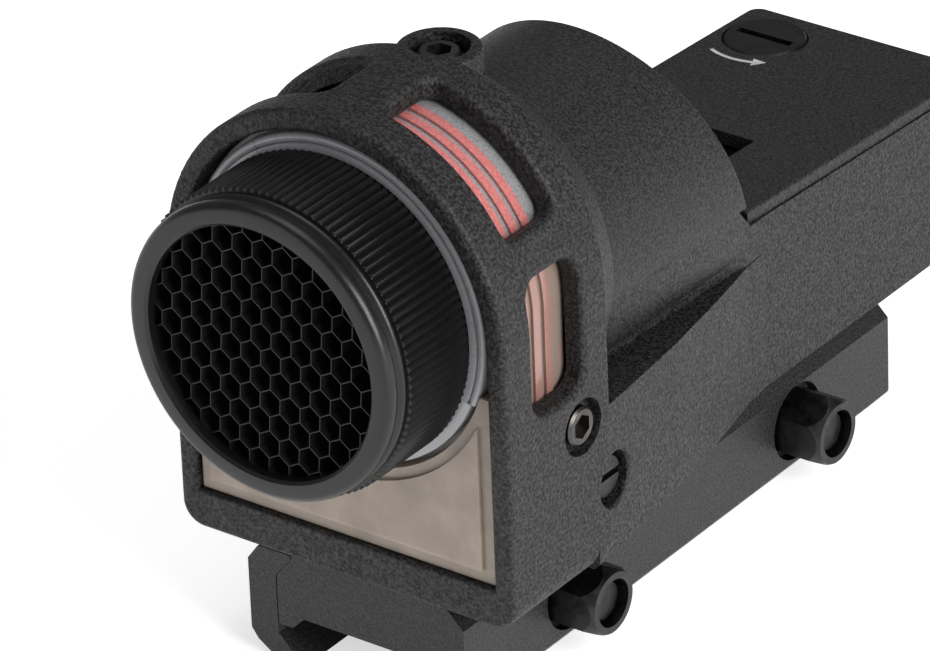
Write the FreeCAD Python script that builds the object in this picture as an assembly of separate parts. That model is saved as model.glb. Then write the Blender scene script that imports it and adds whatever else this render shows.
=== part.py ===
import FreeCAD, Part
import math, os

# Rail-mounted reflex dot sight: hooded objective with a fibre light collector,
# low rear box holding the dot emitter and its adjusters, and a rail clamp.
# The geometry is drawn from the optical axis (x = 0, z = 0) at the hood's
# front face (y = 0), +Y to the rear, +Z up, then moved so that the row's
# origin is the middle of the rail seat.

V = FreeCAD.Vector
os.makedirs("parts", exist_ok=True)

# ---------------------------------------------------------------- dimensions
HW = 25.34          # hood half width and arch radius
HI = 22.60          # hood inner half width and inner arch radius
HB = -38.0          # underside of the housing
FB = -32.6          # top of the hood's front sill
HD = 21.3           # hood depth
BOXW = 17.6         # rear box half width
YE = 115.5          # rear end of the box
RB = 21.0           # barrel outer radius
RBI = 19.2          # barrel inner radius
ZB = -5.12          # barrel axis height
RIM0, RIMK = 55.4, -0.298   # barrel rear rim: y = RIM0 + RIMK * z
ZG = -7.0           # parting line between barrel cover and housing walls
TOP67, TOPK = -10.85, -0.049  # sloping top plate: z = TOP67 + TOPK * (y - 67)
SEAT = -48.3        # rail seat plane
BOLT_Y = (25.2, 75.2)  # cross bolts, five rail slots apart
BOLT_Z = -47.3
MXR = 15.7          # clamp body right side
MXL = -17.4         # clamp bar left side
MY0, MY1 = 2.6, 96.5
OFF = V(0.0, -50.2, 48.3)   # shift that puts the origin on the rail seat

AP = 16.5           # filter aperture radius
RLIP = 19.5         # filter front lip radius
RKN = 20.25         # knurl radius
YF0 = -14.8         # filter front face
YF1 = 2.6           # rear end of the knurled skirt
LIFT_TURNS = 5.0    # turns that free the filter


def ztop(y):
    return TOP67 + TOPK * (y - 67.0)


# ---------------------------------------------------------------- helpers
def box(x0, y0, z0, x1, y1, z1):
    return Part.makeBox(x1 - x0, y1 - y0, z1 - z0, V(x0, y0, z0))


def cyl(r, h, p, d):
    return Part.makeCylinder(r, h, V(*p), V(*d))


def cy(r, y0, y1, x=0.0, z=0.0):
    return cyl(r, y1 - y0, (x, y0, z), (0, 1, 0))


def tube(ro, ri, y0, y1, x=0.0, z=0.0):
    return cy(ro, y0, y1, x, z).cut(cy(ri, y0 - 0.1, y1 + 0.1, x, z))


def poly_xz(pts, y0, y1):
    vs = [V(x, y0, z) for x, z in pts]
    f = Part.Face(Part.makePolygon(vs + [vs[0]]))
    return f.extrude(V(0, y1 - y0, 0))


def poly_xy(pts, z0, z1):
    vs = [V(x, y, z0) for x, y in pts]
    f = Part.Face(Part.makePolygon(vs + [vs[0]]))
    return f.extrude(V(0, 0, z1 - z0))


def poly_yz(pts, x0, x1):
    vs = [V(x0, y, z) for y, z in pts]
    f = Part.Face(Part.makePolygon(vs + [vs[0]]))
    return f.extrude(V(x1 - x0, 0, 0))


def arch(r, zb, y0, y1, rc=0.0):
    """Round-topped profile: half circle of radius r on straight sides down to zb."""
    if rc <= 0:
        e = [Part.LineSegment(V(-r, y0, 0), V(-r, y0, zb)).toShape(),
             Part.LineSegment(V(-r, y0, zb), V(r, y0, zb)).toShape(),
             Part.LineSegment(V(r, y0, zb), V(r, y0, 0)).toShape(),
             Part.Arc(V(r, y0, 0), V(0, y0, r), V(-r, y0, 0)).toShape()]
    else:
        s = rc * (1 - math.sqrt(0.5))
        e = [Part.LineSegment(V(-r, y0, 0), V(-r, y0, zb + rc)).toShape(),
             Part.Arc(V(-r, y0, zb + rc), V(-r + s, y0, zb + s), V(-r + rc, y0, zb)).toShape(),
             Part.LineSegment(V(-r + rc, y0, zb), V(r - rc, y0, zb)).toShape(),
             Part.Arc(V(r - rc, y0, zb), V(r - s, y0, zb + s), V(r, y0, zb + rc)).toShape(),
             Part.LineSegment(V(r, y0, zb + rc), V(r, y0, 0)).toShape(),
             Part.Arc(V(r, y0, 0), V(0, y0, r), V(-r, y0, 0)).toShape()]
    w = Part.Wire(Part.__sortEdges__(e))
    return Part.Face(w).extrude(V(0, y1 - y0, 0))


def halfspace_above(z_of_y, y0, y1, zt=60.0, w=60.0):
    return poly_yz([(y0, z_of_y(y0)), (y1, z_of_y(y1)), (y1, zt), (y0, zt)], -w, w)


def plan(pts, z0, z1):
    """Symmetric plan outline from (y, half width) pairs."""
    p = [(hw, y) for y, hw in pts] + [(-hw, y) for y, hw in reversed(pts)]
    return poly_xy(p, z0, z1)


def fuse(*s):
    r = s[0]
    for t in s[1:]:
        r = r.fuse(t)
    return r.removeSplitter()


def cut(a, *s):
    for t in s:
        a = a.cut(t)
    return a


def rot(s, p, d, a):
    s = s.copy()
    s.rotate(V(*p), V(*d), a)
    return s


def hexa(af, h, p, d):
    """Hexagonal prism, across flats af, from point p along direction d."""
    r = af / math.sqrt(3.0)
    vs = [V(r * math.cos(math.radians(60 * i)), r * math.sin(math.radians(60 * i)), 0) for i in range(6)]
    s = Part.Face(Part.makePolygon(vs + [vs[0]])).extrude(V(0, 0, h))
    m = FreeCAD.Rotation(V(0, 0, 1), V(*d))
    s.Placement = FreeCAD.Placement(V(*p), m)
    return s


def slot_on_x(y0, y1, z0, z1, r, x0, x1):
    """Rounded rectangle in the YZ plane, cut along X."""
    s = box(x0, y0, z0, x1, y1, z1)
    es = [e for e in s.Edges if abs(e.Vertexes[0].Point.x - e.Vertexes[1].Point.x) > 1]
    return s.makeFillet(r, es)


def edge_points(e):
    a, b = e.ParameterRange
    return [e.valueAt(a + (b - a) * t) for t in (0.01, 0.5, 0.99)]


def soften(s, r, test):
    """Rounds every edge whose sampled points all pass the test, if that leaves one sound solid."""
    es = [e for e in s.Edges if all(test(p) for p in edge_points(e))]
    try:
        n = s.makeFillet(r, es)
        if n.isValid() and len(n.Solids) == 1:
            return n.Solids[0]
    except Exception as ex:
        print("edge rounding skipped", r, len(es), ex)
    return s


def put(name, shape):
    shape = shape.copy()
    shape.translate(OFF)
    shape.exportStep("parts/%s.step" % name)
    bb = shape.BoundBox
    print("%-24s solids %d valid %s vol %9.1f  x %.2f..%.2f y %.2f..%.2f z %.2f..%.2f" % (
        name, len(shape.Solids), shape.isValid(), shape.Volume,
        bb.XMin, bb.XMax, bb.YMin, bb.YMax, bb.ZMin, bb.ZMax))


# ---------------------------------------------------------------- main housing
WALL = [(0.2, 25.34), (18.0, 25.34), (21.2, 24.95), (28.8, 24.0), (38.8, 22.6), (49.3, 20.7),
        (56.0, 19.3), (61.0, 18.2), (66.0, 17.6), (YE, 17.6)]
UPPER = [(20.0, 20.7), (42.0, 20.7), (50.0, 20.0), (56.0, 19.0), (61.0, 18.05), (66.0, 17.6), (YE, 17.6)]


def inset(pts, t, y0, y1):
    out = [(max(y0, y), hw - t) for y, hw in pts if y <= y1 - 0.01]
    out = [p for i, p in enumerate(out) if i == len(out) - 1 or out[i + 1][0] > p[0] + 0.01]
    out.append((y1, pts[-1][1] - t))
    return out


hood = arch(HW, HB, 0.0, HD, 3.2)
# soften the hood's front and rear outer edges
es = [e for e in hood.Edges if abs(e.BoundBox.YMin - e.BoundBox.YMax) < 1e-6]
try:
    hood = hood.makeFillet(0.8, es)
except Exception as ex:
    print("hood edge fillet skipped", ex)

lower = plan(WALL[1:], HB, -16.4)
lower = lower.cut(halfspace_above(lambda y: -16.4 - 0.03 * (y - 21.0), 10.0, 125.0))
es = [e for e in lower.Edges if e.BoundBox.ZMax < HB + 1e-6 and e.BoundBox.YLength > 1.0]
try:
    lower = lower.makeChamfer(0.9, es)
except Exception as ex:
    print("lower chamfer skipped", ex)
mid = plan(UPPER, HB + 1.0, 6.0)
mid = mid.cut(poly_yz([(10, ZG), (57.4, ZG), (62.4, ztop(62.4) - 1.9), (125, ztop(125) - 1.9), (125, 30), (10, 30)], -40, 40))
# the strip behind the hood curves under to leave the wedge recess
strip = cy(20.7, 20.0, 61.0, 0, ZB)
keep = fuse(strip, box(-17.6, 20.0, HB, 17.6, YE, ZG), plan([(56.0, 17.6), (61.0, 18.05), (66.0, 17.6), (YE, 17.6)], HB, 0))
mid = mid.common(keep)
body = fuse(hood, lower, mid)

# inside: hood cavity, body cavity, barrel clearance
cav_hood = arch(HI, FB, -0.5, 18.8)
cav_body = plan([(18.0, 17.4), (56.0, 16.2), (64.0, 15.4), (YE - 2.4, 15.4)], -35.4, 30.0).common(
    fuse(cy(18.6, 18.0, 61.5, 0, ZB), box(-15.4, 18.0, -35.4, 15.4, YE - 2.4, -5.0)))
cav_floor = plan([(18.0, 21.6), (28.8, 21.0), (38.8, 19.9), (49.3, 18.0), (56.0, 16.6), (64.0, 15.4), (YE - 2.4, 15.4)], -35.4, -19.2)
body = cut(body, cav_hood, cav_body, cav_floor)
# assembly window in the floor, closed by the gasket and clamp body below
body = body.cut(box(-7.5, 40.0, HB - 1, 7.5, 76.0, -35.0))

# barrel passes through the hood's rear wall
body = body.cut(cy(RB + 0.05, 18.0, 62.0, 0, ZB).common(box(-40, 18, ZG, 40, 62, 40)))
# fibre windows in the arch, one each side of the top
def arch_slot(a0, a1, y0, y1, r0, r1):
    """Radial slot between two angles, with rounded ends."""
    n = 12
    am = 0.5 * (a0 + a1)
    s = tube(r1, r0, y0, y1)
    w = Part.makePolygon([V(0, y0, 0)] + [V(60 * math.cos(math.radians(a0 + (a1 - a0) * i / n)), y0,
                                            60 * math.sin(math.radians(a0 + (a1 - a0) * i / n))) for i in range(n + 1)] + [V(0, y0, 0)])
    w = Part.Face(w).extrude(V(0, y1 - y0, 0))
    s = s.common(w)
    es = []
    for e in s.Edges:
        a, b = e.Vertexes[0].Point, e.Vertexes[-1].Point
        if abs(a.y - b.y) < 1e-6 and abs(math.hypot(a.x, a.z) - math.hypot(b.x, b.z)) > 1.0:
            es.append(e)
    return s.makeFillet(1.8, es)


for a0, a1 in ((28.5, 80.5), (99.5, 151.5)):
    body = body.cut(arch_slot(a0, a1, 5.8, 15.8, HI - 1.5, HW + 2.0))
for s in (1, -1):
    x0, x1 = (20.0, 30.0) if s > 0 else (-30.0, -20.0)
    w = slot_on_x(5.9, 16.1, -11.3, 6.6, 2.6, x0, x1)
    body = body.cut(w)
    # counterbored screw seats and the adjuster hole
    body = body.cut(cyl(3.75, 6.0, (s * (HW - 1.7), 15.4, -16.5), (s, 0, 0)))
    body = body.cut(cyl(1.6, 8.0, (s * 19.0, 15.4, -16.5), (s, 0, 0)))
# top boss with its counterbore, over the barrel's collar
BSY = 23.2
boss = cyl(5.4, 3.2, (0, BSY, 21.6), (0, 0, 1))
boss = boss.makeFillet(0.6, [e for e in boss.Edges if e.BoundBox.ZMin > 24.7])
body = fuse(body, boss)
body = cut(body, cyl(3.9, 6.0, (0, BSY, 22.4), (0, 0, 1)), cyl(1.6, 14.0, (0, BSY, 12.0), (0, 0, 1)))
# windage screw hole, right side only
WY, WZ = 22.3, -27.3
body = cut(body, cyl(3.6, 8.0, (21.4, WY, WZ), (1, 0, 0)), cyl(2.1, 8.0, (17.0, WY, WZ), (1, 0, 0)))
# internal boss for the windage screw, and spring pocket on the far side
wb = cyl(4.6, 5.2, (16.3, WY, WZ), (1, 0, 0)).cut(cyl(2.1, 8.0, (16.0, WY, WZ), (1, 0, 0)))
sb = cyl(4.0, 5.0, (-21.5, WY, WZ), (1, 0, 0)).cut(cyl(2.7, 4.0, (-19.9, WY, WZ), (1, 0, 0)))
body = fuse(body, wb.common(plan([(18, 22.5), (30, 21.9)], -34, -20)), sb.common(plan([(18, 22.5), (30, 21.9)], -34, -20)))
body = body.cut(cyl(2.1, 8.0, (16.0, WY, WZ), (1, 0, 0)))
body = body.cut(cyl(3.6, 8.0, (21.4, WY, WZ), (1, 0, 0)))
# bosses for the clamp body's screws and two ribs that the sled slides on
BS_XY = [(-6.0, 10.5), (6.0, 10.5), (-6.0, 91.5), (6.0, 91.5)]
for x, y in BS_XY[2:]:
    body = fuse(body, cyl(2.8, 1.3, (x, y, -35.5), (0, 0, 1)))
body = fuse(body, box(-11.0, 30.0, -35.5, 11.0, 33.0, -33.66), box(-11.0, 97.0, -35.5, 11.0, 100.0, -33.66))
for x, y in BS_XY:
    body = body.cut(cyl(1.25, 5.0 if y < 20 else 6.0, (x, y, HB - 1.0), (0, 0, 1)))
CP = [(-12.5, 98.5), (12.5, 104.0), (-12.5, 70.0), (12.5, 70.0)]
for x, y in CP:
    body = fuse(body, cyl(2.6, ztop(y) - 2.0 + 35.6, (x, y, -35.6), (0, 0, 1)))
body = cut(body, *[cyl(1.1, 60.0, (x, y, HB - 1), (0, 0, 1)) for x, y in CP])
body = cut(body, *[cyl(2.1, 9.0, (x, y, HB - 1), (0, 0, 1)) for x, y in CP])
# rounded rear corners of the box
RC = 2.2


def rear_corners(s, r):
    for sx in (1, -1):
        c = box(min(sx * 15.4, sx * 20.0), YE - RC, HB - 1, max(sx * 15.4, sx * 20.0), YE + 1, 0.0)
        s = s.cut(c.cut(cyl(r, 60.0, (sx * 15.4, YE - RC, HB - 2), (0, 0, 1))))
    return s


body = rear_corners(body, RC)

# rounded outer edges, as cast


def on_hood(p):
    return abs((math.hypot(p.x, p.z) if p.z > 0 else abs(p.x)) - HW) < 0.02 and 5.0 < p.y < 17.0


body = soften(body, 0.9, lambda p: on_hood(p) and p.z > 9.0 and abs(p.x) > 3.0)
body = soften(body, 0.9, lambda p: on_hood(p) and -12.0 < p.z < 8.2)
body = soften(body, 0.5, lambda p: abs(p.y) < 0.02 and (
    abs(math.hypot(p.x, p.z) - HI) < 0.05 if p.z > 0 else (abs(abs(p.x) - HI) < 0.05 or abs(p.z - FB) < 0.05)))
body = soften(body, 0.3, lambda p: abs(abs(p.x) - HW) < 0.02 and 3.4 < math.hypot(p.y - 15.4, p.z + 16.5) < 3.9)
body = soften(body, 0.4, lambda p: p.x > 23.0 and 3.4 < math.hypot(p.y - WY, p.z - WZ) < 3.8)
put("main_housing", body)

# ---------------------------------------------------------------- barrel cover
barrel = tube(RB, RBI, 18.85, 70.0, 0, ZB)
collar = Part.makeCone(24.3, 22.6, 5.0, V(0, HD + 0.05, -1.6), V(0, 1, 0)).cut(cy(RB - 0.5, 18, 40, 0, ZB))
collar = collar.cut(cyl(5.5, 20, (0, 23.2, 20.9), (0, 0, 1)))
barrel = fuse(barrel, collar)
# oblique rear rim
rim_keep = poly_yz([(0, 40), (RIM0 + RIMK * 40, 40), (RIM0 + RIMK * -60, -60), (0, -60)], -60, 60)
barrel = barrel.common(rim_keep)
barrel = barrel.cut(box(-60, 10, -60, 60, 140, ZG + 0.35))
# flange on the housing walls and the lip that hangs inside them
flange = plan([(21.5, 19.5), (57.3, 19.5)], ZG + 0.35, ZG + 1.7).cut(plan([(20, 15.6), (60, 14.2)], -20, 10))
flange = flange.common(cy(RB - 0.6, 20, 60, 0, ZB))
lip = plan([(22.0, 17.1), (57.2, 15.9)], -13.2, ZG + 1.7).cut(plan([(20, 15.6), (60, 14.2)], -20, 10))
lip = lip.cut(poly_yz([(10, -60), (80, -60), (80, ztop(80) - 1.8), (10, ztop(10) - 1.8)], -60, 60))
deck = plan([(22.0, 17.1), (57.2, 15.9), (60.0, 15.25), (66.0, 15.1)], -20.0, 0.0)
plate = plan([(62.5, 17.35), (YE, 17.35)], -20.0, 0.0)
deck = fuse(deck, plate)
deck = deck.cut(poly_yz([(10, ztop(10)), (125, ztop(125)), (125, 10), (10, 10)], -60, 60))
deck = deck.cut(poly_yz([(10, -60), (125, -60), (125, ztop(125) - 1.8), (10, ztop(10) - 1.8)], -60, 60))
cover = fuse(barrel, flange.common(rim_keep), lip, deck)
# emitter window and elevation dial seat in the sloping plate
cover = cover.cut(box(-6.4, 34.0, -30, 6.4, 80.2, -7.2))
# yoke under the deck that carries the light pipe
yoke = fuse(box(-8.8, 48.0, -24.6, -6.9, 51.0, ztop(49) - 1.0), box(6.9, 48.0, -24.6, 8.8, 51.0, ztop(49) - 1.0),
            box(-8.8, 48.0, -24.6, 8.8, 51.0, -23.2))
cover = fuse(cover, yoke)
DX, DY = -10.4, 107.3
cover = cut(cover, cyl(2.35, 12.0, (DX, DY, -24.0), (0, 0, 1)))
dial_seat = cyl(5.7, 6.0, (DX, DY, ztop(DY) - 1.0), (0, 0, 1))
cover = cover.cut(dial_seat)
cover = cover.cut(cyl(1.5, 7.2, (0, 23.2, 15.4), (0, 0, 1)))



# plate screws: long M2 screws from the housing's underside up into the plate
ps = []
for x, y in CP:
    zt = ztop(y) - 0.7
    ps.append(fuse(cyl(1.0, zt - (HB + 8.0), (x, y, HB + 8.0), (0, 0, 1)), cyl(1.9, 1.6, (x, y, HB + 6.4), (0, 0, 1))))
cover = cut(cover, *ps)


def on_rim(p, r):
    return abs(p.y - (RIM0 + RIMK * p.z)) < 0.02 and p.z > -6.5 and abs(math.hypot(p.x, p.z - ZB) - r) < 0.03


cover = soften(cover, 0.5, lambda p: on_rim(p, RB))
cover = soften(cover, 0.3, lambda p: on_rim(p, RBI))
cover = rear_corners(cover, RC - 0.25)
cover = cover.cut(box(-20, YE - 0.25, -40, 20, YE + 1, 0))
cover = soften(cover, 0.5, lambda p: abs(p.z - ztop(p.y)) < 0.02 and p.y > 62.0 and (
    abs(abs(p.x) - 17.35) < 0.02 or abs(p.y - YE + 0.25) < 0.02 or (p.y > YE - RC - 0.1 and abs(p.x) > 15.3)))
cover = soften(cover, 0.15, lambda p: abs(p.z - ztop(p.y)) < 0.05 and abs(math.hypot(p.x - DX, p.y - DY) - 5.7) < 0.05)
put("barrel_cover", cover)
put("plate_screws", Part.makeCompound(ps))

# ---------------------------------------------------------------- hood screws
hs = []
def socket_screw(p, d, head_r=2.65, head_h=2.4, sh_r=1.45, sh_l=5.0):
    """Socket head screw: p is the middle of the head's outer face, d points outwards."""
    d = V(*d)
    p = V(*p)
    h = Part.makeCylinder(head_r, head_h, p - d * head_h, d)
    ce = [e for e in h.Edges if abs((e.BoundBox.Center - p).dot(d)) < 0.05 and e.Closed and e.Length > 10]
    try:
        h = h.makeChamfer(0.3, ce[:1])
    except Exception as ex:
        print("screw chamfer skipped", ex)
    q = p - d * 1.5
    k = hexa(2.9, 1.6, (q.x, q.y, q.z), (d.x, d.y, d.z))
    sh = Part.makeCylinder(sh_r, sh_l + 0.2, p - d * (head_h + sh_l), d)
    return h.fuse(sh).removeSplitter().cut(k)


for sx in (1, -1):
    hs.append(socket_screw((sx * 25.2, 15.4, -16.5), (sx, 0, 0), head_r=2.55, head_h=1.56, sh_l=4.6))
hs.append(socket_screw((0, 23.2, 24.3), (0, 0, 1), head_h=1.9, sh_l=6.6))

# ---------------------------------------------------------------- light collector
col = tube(21.3, 20.45, 3.0, 18.3)
flange_c = tube(22.3, 20.45, 3.0, 3.8)
plate_c = box(-22.3, 0.9, FB + 0.15, 22.3, 3.8, -7.0)
plate_c = plate_c.cut(cy(22.0, 0.0, 3.0)).cut(cy(20.45, 0.0, 5.0))
col = fuse(col, flange_c, plate_c)
# raised inner panel on the plate's face
pan = box(-20.6, 0.35, FB + 1.9, 20.6, 0.95, -9.0).cut(cy(23.4, 0.0, 3.0))
col = fuse(col, pan)
# pads that take the hood screws
for sx in (1, -1):
    pad = box(min(sx * 13.5, sx * 22.4), 3.8, -20.0, max(sx * 13.5, sx * 22.4), 18.3, -15.05).cut(cy(20.45, 0, 20))
    col = fuse(col, pad)
col = cut(col, *hs)
put("light_collector", col)
put("hood_screws", Part.makeCompound(hs))

# glossy ring behind the filter, with a wider flange on its upper part
ring = tube(21.3, 20.45, 0.7, 2.95)
ang = [math.radians(-23 + 226 * i / 30.0) for i in range(31)]
fan = [V(0, 1.8, 0)] + [V(40 * math.cos(a), 1.8, 40 * math.sin(a)) for a in ang]
fan = Part.Face(Part.makePolygon(fan + [fan[0]])).extrude(V(0, 1.15, 0))
ring = fuse(ring, tube(21.86, 20.45, 1.8, 2.95).common(fan))
put("collector_ring", ring)

# translucent fibre carrier band and the red fibre windings on it
band = arch(21.9, -15.1, 4.0, 16.6).cut(arch(21.35, -16.0, 3.0, 17.0))
pads = fuse(*[box(min(sx * 18.5, sx * 22.6), 3.7, -20.2, max(sx * 18.5, sx * 22.6), 18.5, -15.0) for sx in (1, -1)])
band = band.cut(pads)
put("fibre_band", band)
fib = []
for yc in (8.7, 10.9, 13.1):
    f = arch(22.3, -14.95, yc - 0.65, yc + 0.65).cut(arch(21.93, -16.0, 3.0, 17.0))
    fib.append(f)
put("fibre_windings", Part.makeCompound(fib))

# ---------------------------------------------------------------- lens group
cell = fuse(cy(18.45, -2.0, 3.2), cy(20.35, 3.05, 18.3))
cell = cut(cell, cy(15.3, -3, 5.0), cy(16.75, 4.4, 12.0), cy(18.6, 11.9, 20.0))
put("lens_cell", cell)
put("lens_seal", tube(16.65, 15.7, 4.42, 5.18))
R1s, R2s = 130.0, 190.0
def sag(R, r):
    return R - math.sqrt(R * R - r * r)
lr = 16.6
p0, p1 = V(0, 5.2, 0), V(0, 9.0, 0)
e1 = Part.Arc(V(0, 5.2, 0), V(lr / 2, 5.2 + sag(R1s, lr / 2), 0), V(lr, 5.2 + sag(R1s, lr), 0)).toShape()
e2 = Part.LineSegment(V(lr, 5.2 + sag(R1s, lr), 0), V(lr, 9.0 + sag(R2s, lr), 0)).toShape()
e3 = Part.Arc(V(lr, 9.0 + sag(R2s, lr), 0), V(lr / 2, 9.0 + sag(R2s, lr / 2), 0), V(0, 9.0, 0)).toShape()
e4 = Part.LineSegment(V(0, 9.0, 0), V(0, 5.2, 0)).toShape()
lens = Part.Face(Part.Wire([e1, e2, e3, e4])).revolve(V(0, 0, 0), V(0, 1, 0), 360)
if lens.ShapeType != "Solid":
    lens = Part.Solid(Part.Shell(lens.Faces))
# the lens leans back so that it returns the dot along the optical axis
put("objective_lens", lens)
put("lens_retainer", tube(16.68, 14.9, 9.75, 11.6).cut(box(-17, 9.6, -0.6, 17, 10.6, 0.6).common(box(-40, 11.2, -5, 40, 12, 5))))

# ---------------------------------------------------------------- honeycomb filter
fr = fuse(cy(19.5, YF0 + 0.6, -12.5), Part.makeCone(18.9, 19.5, 0.6, V(0, YF0, 0), V(0, 1, 0)),
          cy(19.0, -12.6, -11.4), Part.makeCone(19.35, RKN, 0.7, V(0, -11.5, 0), V(0, 1, 0)), cy(RKN, -10.85, YF1))
fr = cut(fr, cy(AP, -20, 5), cy(17.3, -13.4, -2.0), cy(18.62, -2.35, 5.0), cy(19.4, 1.3, 5.0))
put("filter_ring", fr)
fs = tube(19.3, 18.52, 1.4, 2.6)
put("filter_seal", fs)
# honeycomb core: hexagonal cells in a disc
core = cy(17.2, -13.35, -9.0)
pitch, wall = 2.97, 0.12
stretch, tilt = 1.12, -4.4   # the foil is pulled open a little more one way, and sits turned
cells = []
rr = (pitch - wall) / math.sqrt(3.0)
i = 0
ct, st = math.cos(math.radians(tilt)), math.sin(math.radians(tilt))
for row in range(-8, 9):
    for colm in range(-8, 9):
        u = (colm + 0.5 * (row % 2)) * pitch + 0.976
        w = (row * pitch * math.sqrt(3.0) / 2.0) * stretch - 1.247
        if math.hypot(u, w) - rr < 16.6:
            q = [(u + rr * math.sin(math.radians(60 * k)), w + stretch * rr * math.cos(math.radians(60 * k))) for k in range(6)]
            vs = [V(ct * a - st * b, -13.5, st * a + ct * b) for a, b in q]
            cells.append(Part.Face(Part.makePolygon(vs + [vs[0]])).extrude(V(0, 5.0, 0)))
core = core.cut(Part.makeCompound(cells).common(cy(16.95, -13.6, -8.0)))
put("honeycomb_core", core)
put("core_clip", tube(17.22, 16.2, -8.95, -7.95).cut(box(-1.2, -10, -20, 1.2, -5, 0)))

# ---------------------------------------------------------------- emitter and adjusters
# sled: slides across for windage; its front end takes the windage screw
sled = box(-4.0, 18.9, -33.6, 4.0, 103.0, -31.6)
sled = fuse(sled, box(-11.0, 29.5, -33.6, 11.0, 33.5, -31.6), box(-9.0, 96.5, -33.6, 11.0, 100.5, -31.6))
arm = box(-15.8, WY - 3.0, -33.6, 15.0, WY + 3.0, -23.8)
arm = arm.cut(cyl(2.7, 3.2, (-16.0, WY, WZ), (1, 0, 0)))
posts = fuse(box(-3.0, 88.0, -31.8, 3.0, 90.0, -15.6), box(-3.0, 93.0, -31.8, 3.0, 95.0, -15.6))
sled = fuse(sled, arm, posts)
sled = cut(sled, cyl(1.6, 7.4, (9.8, WY, WZ), (1, 0, 0)))
put("windage_sled", sled)

ws = fuse(cyl(2.7, 2.0, (21.55, WY, WZ), (1, 0, 0)), cyl(2.0, 5.2, (16.4, WY, WZ), (1, 0, 0)),
          cyl(1.5, 5.5, (11.0, WY, WZ), (1, 0, 0)))
ws = ws.cut(box(22.75, WY - 3, WZ - 0.45, 24, WY + 3, WZ + 0.45))
put("windage_screw", ws)
put("windage_clip", cyl(2.9, 0.45, (15.78, WY, WZ), (1, 0, 0)).cut(cyl(1.51, 2, (15.2, WY, WZ), (1, 0, 0))))


def coil(r, wire, p, d, length, turns):
    """Compression spring: a helix of round wire with flat closed ends left off."""
    pitch = (length - 2 * wire - 0.1) / turns
    h = Part.makeHelix(pitch, pitch * turns, r)
    c = Part.Wire([Part.makeCircle(wire, V(r, 0, 0), V(0, 1, pitch / (2 * math.pi * r)))])
    s = Part.Wire(h).makePipeShell([c], True, True)
    s = s if s.ShapeType == "Solid" else Part.Solid(s)
    s.translate(V(0, 0, wire + 0.05))
    m = FreeCAD.Rotation(V(0, 0, 1), V(*d))
    s.Placement = FreeCAD.Placement(V(*p), m).multiply(s.Placement)
    return s


put("windage_spring", coil(2.1, 0.25, (-19.9, WY, WZ), (1, 0, 0), 7.1, 5))

# emitter carriage: rises and falls on the sled's two posts for elevation
car = box(-6.0, 81.0, -19.6, 6.0, 111.2, -17.4)
car = fuse(car, box(-14.2, 103.2, -21.4, 6.0, 111.2, -17.4), box(-3.0, 81.0, -17.5, 3.0, 86.0, -14.4))
car = cut(car, box(-3.1, 87.9, -25, 3.1, 90.1, -10), box(-3.1, 92.9, -25, 3.1, 95.1, -10))
car = cut(car, box(-13.6, 104.8, -20.6, -7.2, 111.3, -18.2), box(-12.3, 106.0, -30, -8.5, 108.6, -10))
EZ = -15.75
car = cut(car, cyl(1.22, 5.0, (0, 80.5, EZ), (0, 1, 0)), cyl(1.0, 5.0, (0, 83.6, -20), (0, 0, 1)))
put("emitter_carriage", car)
emod = cyl(1.2, 4.6, (0, 80.7, EZ), (0, 1, 0))
put("emitter_module", emod)
put("reticle_mask", cyl(1.2, 0.25, (0, 80.42, EZ), (0, 1, 0)).cut(cyl(0.12, 1.0, (0, 80.0, EZ), (0, 1, 0))))
put("elevation_nut", box(-12.9, 104.9, -20.5, -7.9, 109.7, -18.3).cut(cyl(1.3, 9.0, (DX, DY, -25), (0, 0, 1))))
zt = ztop(DY)
dial = fuse(cyl(5.55, 1.15, (DX, DY, zt - 0.97), (0, 0, 1)), cyl(2.25, 1.4, (DX, DY, zt - 2.3), (0, 0, 1)),
            cyl(1.7, 0.8, (DX, DY, zt - 3.0), (0, 0, 1)), cyl(1.2, 6.4, (DX, DY, zt - 9.3), (0, 0, 1)))
ce = [e for e in dial.Edges if e.BoundBox.ZMin > zt + 0.1 and e.Length > 20]
dial = dial.makeChamfer(0.3, ce[:1])
dial = dial.cut(box(DX - 4.2, DY - 0.6, zt - 0.45, DX + 4.2, DY + 0.6, zt + 1))
put("elevation_dial", dial)
put("dial_clip", cyl(3.3, 0.55, (DX, DY, zt - 2.9), (0, 0, 1)).cut(cyl(1.72, 2, (DX, DY, zt - 3.5), (0, 0, 1))))
put("elevation_spring", coil(2.3, 0.25, (0, 100.5, -31.6), (0, 0, 1), 12.0, 5))
# light pipe from the collector to below the emitter
pipe = poly_yz([(18.32, -20.55), (22.0, -21.3), (79.5, -21.3), (83.0, -20.6), (84.6, -20.6), (84.6, -22.6), (80.5, -23.2), (22.0, -23.2), (18.32, -22.3)], -1.5, 1.5)
put("light_pipe", pipe)

# ---------------------------------------------------------------- rail clamp
base = poly_xz([(12.1, -38.4), (15.7, -42.0), (15.7, -53.0), (13.6, -55.3), (9.35, -55.3), (10.75, -53.9),
                (10.75, -50.0), (9.05, -48.3), (-9.05, -48.3), (-10.85, -50.1), (-13.0, -50.1),
                (-13.0, -43.1), (-10.5, -40.2), (-10.5, -38.4)], MY0, MY1)
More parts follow.
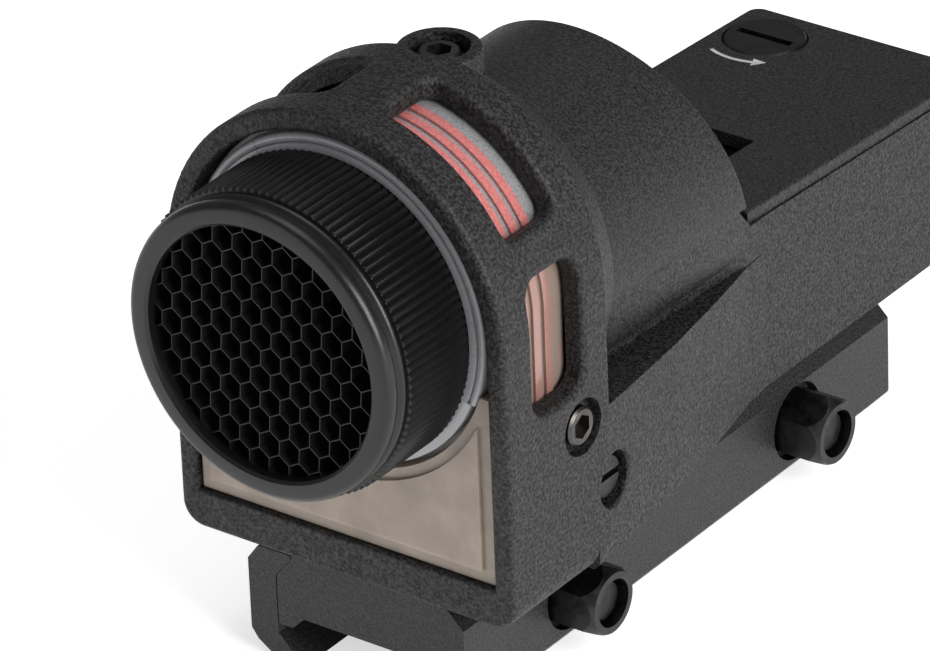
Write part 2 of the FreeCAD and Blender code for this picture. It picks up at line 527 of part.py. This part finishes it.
# rounded lower rear corner of the right jaw
base = base.cut(poly_yz([(MY1 - 2.2, -55.4), (MY1 + 1, -55.4), (MY1 + 1, -51.6)], 9, 17))
bl = []
for y in BOLT_Y:
    base = cut(base, cyl(2.6, 40, (-20, y, BOLT_Z), (1, 0, 0)), cyl(5.3, 5, (14.2, y, BOLT_Z), (1, 0, 0)))
PIN_Y = (42.0, 58.5)
PIN_Z = -45.2
for y in PIN_Y:
    base = base.cut(cyl(1.6, 13.5, (-14.0, y, PIN_Z), (1, 0, 0)))
bs = []
for x, y in BS_XY:
    ln = 3.6 if y < 20 else 3.8
    bs.append(fuse(cyl(1.25, 10.0 + ln - 2.4 - 0.0, (x, y, SEAT + 2.3), (0, 0, 1)), cyl(2.6, 2.0, (x, y, SEAT + 0.4), (0, 0, 1))).cut(
        hexa(2.5, 1.4, (x, y, SEAT + 0.3), (0, 0, 1))))
    base = cut(base, cyl(1.6, 30, (x, y, SEAT - 5), (0, 0, 1)), cyl(2.8, 2.5, (x, y, SEAT - 0.1), (0, 0, 1)))
# weight-saving pocket in the top of the clamp body
base = base.cut(box(-7.0, 38.0, -43.5, 7.0, 64.0, -38.0))


def long_edges(s, r, test):
    """Rounds the edges that run the length of the clamp, where the test passes."""
    es = [e for e in s.Edges if e.Length > 85.0 and all(test(p) for p in edge_points(e))]
    try:
        n = s.makeFillet(r, es)
        if n.isValid() and len(n.Solids) == 1:
            return n.Solids[0]
    except Exception as ex:
        print("edge rounding skipped", r, len(es), ex)
    return s


base = long_edges(base, 0.4, lambda p: p.x > 11.0)
put("rail_base", base)
gas = box(-10.2, MY0 + 0.5, -38.4, 11.8, MY1 - 0.5, HB).cut(box(-7.5, 40.0, -39, 7.5, 64.0, -37))
for x, y in BS_XY:
    gas = gas.cut(cyl(1.6, 3, (x, y, -39.5), (0, 0, 1)))
put("base_gasket", gas)
put("base_screws", Part.makeCompound(bs))

bar = poly_xz([(-17.4, -42.0), (-15.7, -39.7), (-10.65, -39.7), (-10.65, -40.3), (-13.15, -43.2), (-13.15, -51.5),
               (-9.35, -55.3), (-13.6, -55.3), (-16.4, -53.4), (-17.4, -52.0)], MY0, MY1)
for y in BOLT_Y:
    bar = cut(bar, cyl(2.5, 10, (-20, y, BOLT_Z), (1, 0, 0)), cyl(4.0, 3.2, (-18.4, y, BOLT_Z), (1, 0, 0)))
for y in PIN_Y:
    bar = bar.cut(cyl(1.5, 8, (-16.0, y, PIN_Z), (1, 0, 0)))
bar = long_edges(bar, 0.4, lambda p: p.x < -13.5)
put("clamp_bar", bar)
bolts = []
for y in BOLT_Y:
    b = fuse(cyl(2.5, 36.0, (-15.25, y, BOLT_Z), (1, 0, 0)), cyl(3.95, 2.1, (-17.3, y, BOLT_Z), (1, 0, 0)))
    bolts.append(b.cut(hexa(3.0, 1.5, (-17.4, y, BOLT_Z), (1, 0, 0))))
put("cross_bolts", Part.makeCompound(bolts))
put("guide_pins", Part.makeCompound([cyl(1.5, 13.0, (-15.9, y, PIN_Z), (1, 0, 0)) for y in PIN_Y]))


def nut(y):
    h = hexa(8.6, 7.7, (14.25, y, BOLT_Z), (1, 0, 0))
    # rounded rims
    env = fuse(cyl(4.98, 5.9, (14.25, y, BOLT_Z), (1, 0, 0)), Part.makeCone(4.98, 4.1, 1.8, V(20.15, y, BOLT_Z), V(1, 0, 0)))
    h = h.common(env)
    return h.cut(cyl(2.56, 12, (12, y, BOLT_Z), (1, 0, 0))).cut(cyl(3.2, 6, (19.2, y, BOLT_Z), (1, 0, 0)))


put("clamp_nut_front", nut(BOLT_Y[0]))
put("clamp_nut_rear", nut(BOLT_Y[1]))
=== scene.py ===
import math

import bpy
import bmesh
from mathutils import Matrix, Vector


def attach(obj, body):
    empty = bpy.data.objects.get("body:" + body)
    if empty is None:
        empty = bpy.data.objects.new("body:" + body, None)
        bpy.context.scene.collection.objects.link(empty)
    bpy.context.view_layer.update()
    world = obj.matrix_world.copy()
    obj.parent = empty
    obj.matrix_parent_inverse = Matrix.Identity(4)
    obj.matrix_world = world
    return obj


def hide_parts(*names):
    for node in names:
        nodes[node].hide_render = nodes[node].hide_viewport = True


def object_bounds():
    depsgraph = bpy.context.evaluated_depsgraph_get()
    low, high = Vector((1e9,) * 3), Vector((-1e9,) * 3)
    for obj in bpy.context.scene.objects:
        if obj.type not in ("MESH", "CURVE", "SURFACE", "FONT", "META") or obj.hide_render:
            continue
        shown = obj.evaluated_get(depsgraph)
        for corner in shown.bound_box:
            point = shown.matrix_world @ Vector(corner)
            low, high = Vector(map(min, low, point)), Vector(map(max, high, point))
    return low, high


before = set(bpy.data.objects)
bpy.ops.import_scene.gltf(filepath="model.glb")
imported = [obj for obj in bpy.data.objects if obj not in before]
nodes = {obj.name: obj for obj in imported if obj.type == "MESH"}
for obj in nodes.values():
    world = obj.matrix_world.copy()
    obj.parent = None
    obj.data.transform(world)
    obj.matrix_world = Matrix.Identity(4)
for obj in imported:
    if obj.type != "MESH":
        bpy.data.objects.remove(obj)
cad_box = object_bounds()

# Lengths below are in millimetres from the optical axis at the hood's front face;
# P() takes them to the row frame in metres.
OX, OY, OZ = 0.0, -50.2, 48.3


def P(x, y, z):
    return Vector(((x + OX) / 1000.0, (y + OY) / 1000.0, (z + OZ) / 1000.0))


def ztop(y):
    return -10.85 - 0.049 * (y - 67.0)


# ------------------------------------------------------------------ materials
def link(t, a, b):
    t.links.new(a, b)


def coat(name, dark, light, rough=(0.45, 0.6), grain=2500.0, bump=0.15, dist=0.00006, metallic=0.0,
         blotch=60.0, spec=0.5, coat_w=0.0, coat_r=0.2, detail=4.0, voronoi=False, speck=0.0, speck_bump=0.9, ramp=(0.3, 0.7)):
    """Painted or moulded surface: slight colour and gloss variation over a grain bump."""
    m = bpy.data.materials.new(name)
    m.use_nodes = True
    t = m.node_tree
    b = t.nodes["Principled BSDF"]
    tc = t.nodes.new("ShaderNodeTexCoord")
    n1 = t.nodes.new("ShaderNodeTexNoise")
    n1.inputs["Scale"].default_value = blotch
    n1.inputs["Detail"].default_value = 6.0
    n1.inputs["Roughness"].default_value = 0.6
    link(t, tc.outputs["Object"], n1.inputs["Vector"])
    r1 = t.nodes.new("ShaderNodeValToRGB")
    r1.color_ramp.elements[0].position = ramp[0]
    r1.color_ramp.elements[0].color = (*dark, 1)
    r1.color_ramp.elements[1].position = ramp[1]
    r1.color_ramp.elements[1].color = (*light, 1)
    link(t, n1.outputs["Fac"], r1.inputs["Fac"])
    link(t, r1.outputs["Color"], b.inputs["Base Color"])
    if voronoi:
        n2 = t.nodes.new("ShaderNodeTexVoronoi")
        n2.inputs["Scale"].default_value = grain
        out = n2.outputs["Distance"]
    else:
        n2 = t.nodes.new("ShaderNodeTexNoise")
        n2.inputs["Scale"].default_value = grain
        n2.inputs["Detail"].default_value = detail
        out = n2.outputs["Fac"]
    link(t, tc.outputs["Object"], n2.inputs["Vector"])
    mr = t.nodes.new("ShaderNodeMapRange")
    mr.inputs["From Min"].default_value = 0.3
    mr.inputs["From Max"].default_value = 0.7
    mr.inputs["To Min"].default_value = rough[0]
    mr.inputs["To Max"].default_value = rough[1]
    link(t, n2.outputs[0], mr.inputs["Value"])
    link(t, mr.outputs["Result"], b.inputs["Roughness"])
    bp = t.nodes.new("ShaderNodeBump")
    bp.inputs["Strength"].default_value = bump
    bp.inputs["Distance"].default_value = dist
    link(t, out, bp.inputs["Height"])
    link(t, bp.outputs["Normal"], b.inputs["Normal"])
    if speck:
        n3 = t.nodes.new("ShaderNodeTexNoise")
        n3.inputs["Scale"].default_value = speck
        n3.inputs["Detail"].default_value = 1.5
        n3.inputs["Roughness"].default_value = 0.5
        link(t, tc.outputs["Object"], n3.inputs["Vector"])
        b2 = t.nodes.new("ShaderNodeBump")
        b2.inputs["Strength"].default_value = speck_bump
        b2.inputs["Distance"].default_value = 0.00022
        link(t, n3.outputs["Fac"], b2.inputs["Height"])
        link(t, bp.outputs["Normal"], b2.inputs["Normal"])
        link(t, b2.outputs["Normal"], b.inputs["Normal"])
    b.inputs["Metallic"].default_value = metallic
    b.inputs["Specular IOR Level"].default_value = spec
    if coat_w > 0:
        b.inputs["Coat Weight"].default_value = coat_w
        b.inputs["Coat Roughness"].default_value = coat_r
    return m


def turned(name, c0, c1, rough=0.25, scale=900.0, axis="X", aniso=0.4):
    """Machined metal: a metallic coat over a fine grain bump."""
    m = coat(name, c0, c1, (rough * 0.8, rough * 1.3), grain=scale, bump=0.05, metallic=1.0, blotch=300.0)
    return m


def plastic(name, c0, c1, rough=0.25, trans=0.0, ss=0.0, ior=1.49, coat_w=0.0, blotch=90.0, radius=(0.004, 0.0025, 0.0016)):
    m = coat(name, c0, c1, (rough * 0.85, rough * 1.15), grain=700.0, bump=0.04, blotch=blotch)
    b = m.node_tree.nodes["Principled BSDF"]
    b.inputs["Transmission Weight"].default_value = trans
    b.inputs["IOR"].default_value = ior
    b.inputs["Subsurface Weight"].default_value = ss
    b.inputs["Subsurface Radius"].default_value = radius
    b.inputs["Subsurface Scale"].default_value = 1.0
    if coat_w:
        b.inputs["Coat Weight"].default_value = coat_w
        b.inputs["Coat Roughness"].default_value = 0.08
    return m


MAT = {
    "housing": coat("housing_coat", (0.0005, 0.0005, 0.0006), (0.0310, 0.0295, 0.0305), (0.40, 0.75), grain=2600, bump=1.0, dist=0.00010, blotch=2400, detail=2.0, spec=0.34, speck=2500.0, speck_bump=0.45, ramp=(0.43, 0.60)),
    "cover": coat("cover_coat", (0.0015, 0.0015, 0.0016), (0.0250, 0.0240, 0.0252), (0.40, 0.66), grain=3000, bump=0.8, dist=0.00008, blotch=2800, detail=2.0, spec=0.38, speck=2900.0, speck_bump=0.28, ramp=(0.42, 0.60)),
    "clamp": coat("clamp_coat", (0.0035, 0.0034, 0.0034), (0.0235, 0.0225, 0.0222), (0.42, 0.6), grain=3200, bump=0.6, dist=0.00007, blotch=3000, detail=2.0, spec=0.42, speck=3000.0, speck_bump=0.22, ramp=(0.42, 0.60)),
    "filter": coat("filter_coat", (0.0035, 0.0035, 0.0040), (0.0060, 0.0060, 0.0066), (0.27, 0.38), grain=5000, bump=0.25, dist=0.00003, blotch=700, spec=0.42),
    "core": coat("core_coat", (0.003, 0.003, 0.003), (0.008, 0.008, 0.008), (0.45, 0.6), grain=3000, bump=0.2, blotch=400, spec=0.4),
    "cell": coat("cell_coat", (0.004, 0.004, 0.004), (0.007, 0.007, 0.007), (0.5, 0.6)),
    "steel": turned("screw_steel", (0.50, 0.50, 0.51), (0.66, 0.66, 0.67), 0.3),
    "black_screw": turned("black_screw", (0.055, 0.053, 0.052), (0.11, 0.105, 0.10), 0.34),
    "dark": turned("dark_steel", (0.030, 0.029, 0.029), (0.060, 0.058, 0.057), 0.38),
    "spring": turned("spring_steel", (0.4, 0.4, 0.41), (0.55, 0.55, 0.56), 0.3),
    "brass": turned("brass", (0.55, 0.40, 0.18), (0.70, 0.52, 0.26), 0.3),
    "alloy": turned("sled_alloy", (0.45, 0.45, 0.46), (0.6, 0.6, 0.61), 0.35),
    "collector": plastic("collector_plastic", (0.225, 0.185, 0.150), (0.325, 0.272, 0.224), 0.33, ss=0.25, blotch=160),
    "ring": plastic("ring_plastic", (0.255, 0.26, 0.275), (0.315, 0.32, 0.335), 0.30, ss=0.0, coat_w=0.5),
    "fibre": plastic("fibre_red", (0.40, 0.105, 0.105), (0.58, 0.20, 0.19), 0.22, ss=0.1, coat_w=0.5, blotch=2600),
    "band": plastic("band_plastic", (0.15, 0.15, 0.156), (0.33, 0.33, 0.337), 0.2, ss=0.1, coat_w=0.4, blotch=3800),
    "lens": plastic("lens_glass", (0.75, 0.45, 0.45), (0.8, 0.5, 0.5), 0.02, trans=1.0, ior=1.52),
    "pipe": plastic("pipe_plastic", (0.75, 0.72, 0.70), (0.8, 0.78, 0.75), 0.1, trans=0.6),
    "rubber": coat("seal_rubber", (0.012, 0.012, 0.012), (0.02, 0.02, 0.02), (0.6, 0.75)),
    "module": coat("module_plastic", (0.03, 0.03, 0.03), (0.045, 0.045, 0.045), (0.4, 0.5)),
    "mask": coat("mask_metal", (0.01, 0.01, 0.01), (0.015, 0.015, 0.015), (0.5, 0.6)),
    "mark": coat("marking_paint", (0.42, 0.42, 0.41), (0.56, 0.56, 0.55), (0.5, 0.6), grain=3000, bump=0.1, blotch=1500),
}
def fade(m, low, high, tint, share):
    """Blend the base colour towards tint below the height high, fully at low."""
    t = m.node_tree
    b = t.nodes["Principled BSDF"]
    src = b.inputs["Base Color"].links[0].from_socket
    geo = t.nodes.new("ShaderNodeTexCoord")
    sep = t.nodes.new("ShaderNodeSeparateXYZ")
    link(t, geo.outputs["Object"], sep.inputs[0])
    mr = t.nodes.new("ShaderNodeMapRange")
    mr.inputs["From Min"].default_value = low
    mr.inputs["From Max"].default_value = high
    mr.inputs["To Min"].default_value = share
    mr.inputs["To Max"].default_value = 0.0
    link(t, sep.outputs["Z"], mr.inputs["Value"])
    mx = t.nodes.new("ShaderNodeMix")
    mx.data_type = "RGBA"
    for s in mx.inputs:
        if s.name == "B" and s.type == "RGBA":
            s.default_value = (*tint, 1)
    link(t, mr.outputs["Result"], mx.inputs["Factor"])
    a_in = [s for s in mx.inputs if s.name == "A" and s.type == "RGBA"][0]
    link(t, src, a_in)
    out = [s for s in mx.outputs if s.type == "RGBA"][0]
    link(t, out, b.inputs["Base Color"])


fade(MAT["fibre"], 0.0565, 0.0600, (0.21, 0.135, 0.110), 0.80)
fade(MAT["band"], 0.0565, 0.0600, (0.215, 0.155, 0.125), 0.88)

NODE_MAT = {
    "main_housing": "housing", "barrel_cover": "cover", "plate_screws": "steel", "light_collector": "collector",
    "hood_screws": "black_screw", "collector_ring": "ring", "fibre_band": "band", "fibre_windings": "fibre",
    "lens_cell": "cell", "lens_seal": "rubber", "objective_lens": "lens", "lens_retainer": "cell",
    "rail_base": "clamp", "base_gasket": "rubber", "base_screws": "dark", "light_pipe": "pipe",
    "windage_spring": "spring", "filter_seal": "rubber", "filter_ring": "filter", "honeycomb_core": "core",
    "core_clip": "dark", "windage_screw": "dark", "windage_clip": "spring", "windage_sled": "alloy",
    "elevation_spring": "spring", "elevation_dial": "dark", "dial_clip": "spring", "elevation_nut": "brass",
    "emitter_carriage": "module", "emitter_module": "pipe", "reticle_mask": "mask", "clamp_bar": "clamp",
    "cross_bolts": "dark", "guide_pins": "dark", "clamp_nut_front": "dark", "clamp_nut_rear": "dark",
}
for name, ob in nodes.items():
    ob.data.materials.clear()
    ob.data.materials.append(MAT[NODE_MAT[name]])


# ------------------------------------------------------------------ meshes
def new_mesh(name, verts, faces, mat, smooth=True, angle=35.0):
    me = bpy.data.meshes.new(name)
    me.from_pydata([tuple(v) for v in verts], [], faces)
    me.validate()
    me.update()
    ob = bpy.data.objects.new(name, me)
    bpy.context.scene.collection.objects.link(ob)
    me.materials.append(mat)
    if smooth:
        for p in me.polygons:
            p.use_smooth = True
        me.set_sharp_from_angle(angle=math.radians(angle))
    return ob


def lathe(name, prof, mat, n, knurl=(), depth=0.0, per=4):
    """Ring about the optical axis from a closed (y, r) profile. Points listed in knurl
    are cut into straight teeth: n teeth of the given depth, per points to a tooth."""
    steps = n * per
    verts, faces = [], []
    m = len(prof)
    for i in range(steps):
        a = 2 * math.pi * i / steps
        ph = i % per
        for j, (y, r) in enumerate(prof):
            rr = r
            if j in knurl and ph >= per // 2:
                rr = r - depth
            verts.append(P(rr * math.cos(a), y, rr * math.sin(a)))
    for i in range(steps):
        k = (i + 1) % steps
        for j in range(m):
            l = (j + 1) % m
            faces.append((i * m + j, i * m + l, k * m + l, k * m + j))
    return new_mesh(name, verts, faces, mat)


# ------------------------------------------------------------------ filter ring with its knurl
KN = 20.25
prof = [
    (-13.95, 16.5), (-14.45, 16.62), (-14.8, 17.0),                        # rolled inner edge of the lip
    (-14.8, 18.55), (-14.66, 18.98), (-14.35, 19.30), (-13.95, 19.47), (-13.5, 19.5), (-13.15, 19.47),
    (-12.9, 19.32), (-12.75, 19.08), (-12.6, 19.0), (-12.35, 19.0), (-12.2, 19.12),   # groove behind the lip
    (-12.0, 19.38), (-11.75, 19.5), (-11.5, 19.5), (-11.3, 19.45),
    (-11.28, KN - 0.42), (-11.15, KN - 0.05), (-11.0, KN),
    (0.15, KN), (0.4, KN - 0.2),
    (0.4, 19.5), (2.6, 19.5), (2.6, 19.4), (1.3, 19.4), (1.3, 18.62), (-2.35, 18.62), (-2.35, 17.3), (-13.4, 17.3), (-13.4, 16.5),
]


def knurled(name, prof, mat, n, sharp):
    """Lathe with straight V-grooves: point radii named in sharp follow a triangle wave."""
    per = 6
    wave = (1.0, 0.72, 0.30, 0.0, 0.30, 0.72)
    verts, faces = [], []
    m = len(prof)
    steps = n * per
    for i in range(steps):
        a = 2 * math.pi * i / steps
        w = wave[i % per]
        for j, (y, r) in enumerate(prof):
            rr = r - sharp.get(j, 0.0) * (1.0 - w)
            verts.append(P(rr * math.cos(a), y, rr * math.sin(a)))
    for i in range(steps):
        k = (i + 1) % steps
        for j in range(m):
            l = (j + 1) % m
            faces.append((i * m + j, i * m + l, k * m + l, k * m + j))
    return new_mesh(name, verts, faces, mat, angle=28.0)


i0 = next(i for i, q in enumerate(prof) if q == (-11.28, KN - 0.42))
ring = knurled("filter_knurled_ring", prof, MAT["filter"], 112, {i0 + 1: 0.52, i0 + 2: 0.62, i0 + 3: 0.62, i0 + 4: 0.36})
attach(ring, "filter")
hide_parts("filter_ring")

# ------------------------------------------------------------------ glossy ring round the filter's seat
bead = []
for k in range(11):                         # round outer bead of the ring
    t = math.radians(-100 + 200 * k / 10)
    bead.append((1.55 - 0.62 * math.cos(t), 21.24 + 0.62 * math.sin(t)))
prof_r = bead + [(2.95, 21.86), (2.95, 19.75), (0.75, 19.75), (0.75, 20.60), (0.92, 20.66)]


def arc_ring(name, prof, a0, a1, mat, steps=180, closed=True, cap=False):
    verts, faces = [], []
    m = len(prof)
    n = steps if closed else steps + 1
    for i in range(n):
        a = math.radians(a0 + (a1 - a0) * i / steps)
        for y, r in prof:
            verts.append(P(r * math.cos(a), y, r * math.sin(a)))
    for i in range(steps):
        k = (i + 1) % n
        for j in range(m):
            l = (j + 1) % m
            faces.append((i * m + j, k * m + j, k * m + l, i * m + l))
    if not closed:
        faces.append(tuple(range(m)))
        faces.append(tuple(range(steps * m, steps * m + m))[::-1])
    return new_mesh(name, verts, faces, mat)


low = [(0.78, 21.0), (0.9, 21.22), (1.15, 21.3), (2.95, 21.3), (2.95, 19.75), (0.75, 19.75)]
r_up = arc_ring("collector_ring_bead", prof_r, -23.0, 122.0, MAT["ring"], closed=False)
r_up2 = arc_ring("collector_ring_bead_left", prof_r, 122.25, 203.0, MAT["ring"], closed=False)
r_low = arc_ring("collector_ring_lower", low, 203.1, 336.9, MAT["ring"], closed=False)
for o in (r_up, r_up2, r_low):
    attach(o, "sight")
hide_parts("collector_ring")

# ------------------------------------------------------------------ painted arrow on the sloping plate
def painted(name, pts, faces):
    """Flat paint on the top plate: 2-D outline points in the plate's x, y."""
    top = [P(x, y, ztop(y) + 0.045) for x, y in pts]
    low = [P(x, y, ztop(y) - 0.02) for x, y in pts]
    n = len(pts)
    f = [tuple(q) for q in faces] + [tuple(i + n for i in q[::-1]) for q in faces]
    edges = {}
    for q in faces:
        for i in range(len(q)):
            e = (q[i], q[(i + 1) % len(q)])
            if (e[1], e[0]) in edges:
                del edges[(e[1], e[0])]
            else:
                edges[e] = True
    f += [(a + n, b + n, b, a) for a, b in edges]
    ob = new_mesh(name, top + low, f, MAT["mark"], smooth=False)
    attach(ob, "sight")
    return ob


ACX, ACY, AR, AW = -10.4, 107.3, 7.9, 0.28          # arc about the dial's centre
pts, faces = [], []
STEPS = 24
for i in range(STEPS + 1):
    a = math.radians(242.0 + (292.0 - 242.0) * i / STEPS)
    for r in (AR - AW, AR + AW):
        pts.append((ACX + r * math.cos(a), ACY + r * math.sin(a)))
for i in range(STEPS):
    faces.append((2 * i, 2 * i + 1, 2 * i + 3, 2 * i + 2))
painted("adjuster_arrow_arc", pts, faces)
a = math.radians(292.0)
tip = math.radians(305.0)
painted("adjuster_arrow_head", [
    (ACX + (AR - 1.05) * math.cos(a), ACY + (AR - 1.05) * math.sin(a)),
    (ACX + (AR + 1.05) * math.cos(a), ACY + (AR + 1.05) * math.sin(a)),
    (ACX + AR * math.cos(tip), ACY + AR * math.sin(tip))], [(0, 1, 2)])

# ------------------------------------------------------------------ camera, floor and light
cam_d = bpy.data.cameras.new("camera")
cam = bpy.data.objects.new("camera", cam_d)
bpy.context.scene.collection.objects.link(cam)
cam_d.sensor_width = 36.0
cam_d.lens = 284.83
cam_d.clip_start = 0.02
right = Vector((0.80719, 0.58919, -0.03605)).normalized()
fwd = Vector((-0.53037, 0.69709, -0.48246)).normalized()
up = right.cross(fwd).normalized()
right = fwd.cross(up).normalized()
rotm = Matrix((right, up, -fwd)).transposed()
cam.matrix_world = Matrix.Translation((0.4803, -0.6554, 0.4702)) @ rotm.to_4x4()
bpy.context.scene.camera = cam

FLOOR = cad_box[0][2]
bm = bmesh.new()
bmesh.ops.create_grid(bm, x_segments=2, y_segments=2, size=3.0)
me = bpy.data.meshes.new("floor")
bm.to_mesh(me)
bm.free()
floor = bpy.data.objects.new("floor", me)
floor.location = (0, 0, FLOOR - 0.0001)
bpy.context.scene.collection.objects.link(floor)
fm = coat("floor_white", (0.80, 0.80, 0.805), (0.83, 0.83, 0.835), (0.7, 0.8), grain=40, bump=0.0, blotch=3, spec=0.1)
fb = fm.node_tree.nodes["Principled BSDF"]
fb.inputs["Emission Color"].default_value = (1.0, 0.995, 0.99, 1)
fb.inputs["Emission Strength"].default_value = 0.62
me.materials.append(fm)

world = bpy.data.worlds.new("studio")
bpy.context.scene.world = world
world.use_nodes = True
world.node_tree.nodes["Background"].inputs["Color"].default_value = (1.0, 1.0, 1.02, 1)
world.node_tree.nodes["Background"].inputs["Strength"].default_value = 0.22
bpy.context.scene.view_settings.view_transform = "Standard"


def area(name, loc, target, size, power, color=(1, 1, 1), size_y=None):
    ld = bpy.data.lights.new(name, "AREA")
    ld.energy = power
    ld.color = color
    ld.size = size
    if size_y:
        ld.shape = "RECTANGLE"
        ld.size_y = size_y
    ob = bpy.data.objects.new(name, ld)
    ob.location = loc
    d = Vector(target) - Vector(loc)
    ob.rotation_euler = d.to_track_quat("-Z", "Y").to_euler()
    bpy.context.scene.collection.objects.link(ob)
    return ob


area("key_right", (1.0, -0.15, 0.5), (0, 0, 0.04), 0.7, 15.0, (1.0, 0.98, 0.965))
area("top", (-0.1, 0.1, 1.3), (0, 0, 0.04), 0.9, 5.0, (0.98, 0.985, 1.0))
area("front", (-0.5, -1.2, 0.35), (0, 0, 0.04), 0.6, 1.6)
